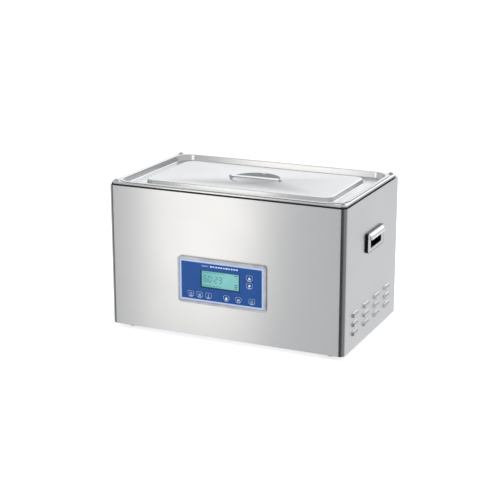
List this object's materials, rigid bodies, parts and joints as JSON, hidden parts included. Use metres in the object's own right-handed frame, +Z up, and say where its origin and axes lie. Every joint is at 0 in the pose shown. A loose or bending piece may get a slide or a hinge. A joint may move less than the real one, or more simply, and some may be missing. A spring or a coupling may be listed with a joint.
{
  "type": "ultrasonic cleaning bath",
  "caption": "Bench-top ultrasonic cleaning bath: steel casing round a deep tank, lift-off pan lid, front key panel with display, side grips and louvres, rear drain valve.",
  "frame": {"origin": "centre of the bounding box in plan, at the height of the soles of the feet", "axes": "+X to the right along the front, +Y from the key panel towards the drain, +Z up"},
  "size_m": [0.5514, 0.387, 0.3264],
  "materials": {
    "brushed_steel": "brushed",
    "polished_steel": "polished",
    "zinc_plate": "zinc plated",
    "aluminium": "satin",
    "black_rubber": "matte",
    "black_plastic": "fine texture",
    "grey_plastic": "satin",
    "blue_film": "satin printed film",
    "key_film": "satin printed film",
    "lcd_glass": "gloss",
    "circuit_board": "solder mask",
    "copper_winding": "enamelled",
    "red_silicone": "matte",
    "nickelled_brass": "nickel plated",
    "blue_vinyl": "dipped"
  },
  "bodies": {
    "bath": {"outer_casing": "brushed_steel", "rear_panel": "brushed_steel", "tank": "brushed_steel", "base_plate": "zinc_plate", "top_frame": "zinc_plate", "deck_gasket": "black_rubber", "foot_front_left": "black_rubber", "foot_front_right": "black_rubber", "foot_rear_left": "black_rubber", "foot_rear_right": "black_rubber", "corner_stud_front_left": "polished_steel", "corner_stud_front_right": "polished_steel", "corner_stud_rear_left": "polished_steel", "corner_stud_rear_right": "polished_steel", "panel_bezel": "grey_plastic", "panel_overlay": "blue_film", "lcd_window": "lcd_glass", "lcd_module": "black_plastic", "control_board": "circuit_board", "handle_pocket_left": "black_plastic", "handle_pocket_right": "black_plastic", "handle_grip_left": "polished_steel", "handle_grip_right": "polished_steel", "generator_board": "circuit_board", "heat_sink": "aluminium", "output_coil": "copper_winding", "heater_pad_left": "red_silicone", "heater_pad_right": "red_silicone", "temperature_probe": "nickelled_brass", "fan_frame": "black_plastic", "mains_inlet": "black_plastic", "switch_housing": "black_plastic", "drain_pipe": "polished_steel", "valve_body": "nickelled_brass", "drain_nozzle": "nickelled_brass", "transducer_front_1": "aluminium", "transducer_front_2": "aluminium", "transducer_front_3": "aluminium", "transducer_rear_1": "aluminium", "transducer_rear_2": "aluminium", "transducer_rear_3": "aluminium"},
    "lid": {"lid": "brushed_steel", "lid_strap": "polished_steel", "lid_rivet_left": "polished_steel", "lid_rivet_right": "polished_steel"},
    "drain_valve": {"valve_ball": "polished_steel", "valve_lever": "polished_steel", "lever_sleeve": "blue_vinyl", "lever_nut": "zinc_plate"},
    "fan": {"fan_rotor": "black_plastic"},
    "mains_rocker": {"switch_rocker": "black_plastic"},
    "key_up_press": {"key_up": "key_film"},
    "key_down_press": {"key_down": "key_film"},
    "key_time_press": {"key_time": "key_film"},
    "key_power_press": {"key_power": "key_film"},
    "key_heat_press": {"key_heat": "key_film"},
    "key_start_press": {"key_start": "key_film"},
    "key_pulse_press": {"key_pulse": "key_film"},
    "key_standby_press": {"key_standby": "key_film"}
  },
  "joints": [
    {"name": "lid_lift", "type": "slide", "parent": "bath", "child": "lid", "axis": [0, 0, 1], "range_m": [0, 0.2]},
    {"name": "key_up_travel", "type": "slide", "parent": "bath", "child": "key_up_press", "axis": [0, 1, 0], "range_m": [0, 0.0005], "stiffness_N_per_m": 1500},
    {"name": "key_down_travel", "type": "slide", "parent": "bath", "child": "key_down_press", "axis": [0, 1, 0], "range_m": [0, 0.0005], "stiffness_N_per_m": 1500},
    {"name": "key_time_travel", "type": "slide", "parent": "bath", "child": "key_time_press", "axis": [0, 1, 0], "range_m": [0, 0.0005], "stiffness_N_per_m": 1500},
    {"name": "key_power_travel", "type": "slide", "parent": "bath", "child": "key_power_press", "axis": [0, 1, 0], "range_m": [0, 0.0005], "stiffness_N_per_m": 1500},
    {"name": "key_heat_travel", "type": "slide", "parent": "bath", "child": "key_heat_press", "axis": [0, 1, 0], "range_m": [0, 0.0005], "stiffness_N_per_m": 1500},
    {"name": "key_start_travel", "type": "slide", "parent": "bath", "child": "key_start_press", "axis": [0, 1, 0], "range_m": [0, 0.0005], "stiffness_N_per_m": 1500},
    {"name": "key_pulse_travel", "type": "slide", "parent": "bath", "child": "key_pulse_press", "axis": [0, 1, 0], "range_m": [0, 0.0005], "stiffness_N_per_m": 1500},
    {"name": "key_standby_travel", "type": "slide", "parent": "bath", "child": "key_standby_press", "axis": [0, 1, 0], "range_m": [0, 0.0005], "stiffness_N_per_m": 1500},
    {"name": "mains_rocker_tilt", "type": "hinge", "parent": "bath", "child": "mains_rocker", "pos_m": [-0.052, 0.1335, 0.07], "axis": [1, 0, 0], "range_deg": [0, 22]},
    {"name": "fan_spin", "type": "hinge", "parent": "bath", "child": "fan", "pos_m": [0.15, 0.1185, 0.07], "axis": [0, 1, 0], "continuous": true},
    {"name": "drain_valve_turn", "type": "hinge", "parent": "bath", "child": "drain_valve", "pos_m": [-0.215, 0.1555, 0.088], "axis": [0, 0, 1], "range_deg": [0, 90]}
  ]
}
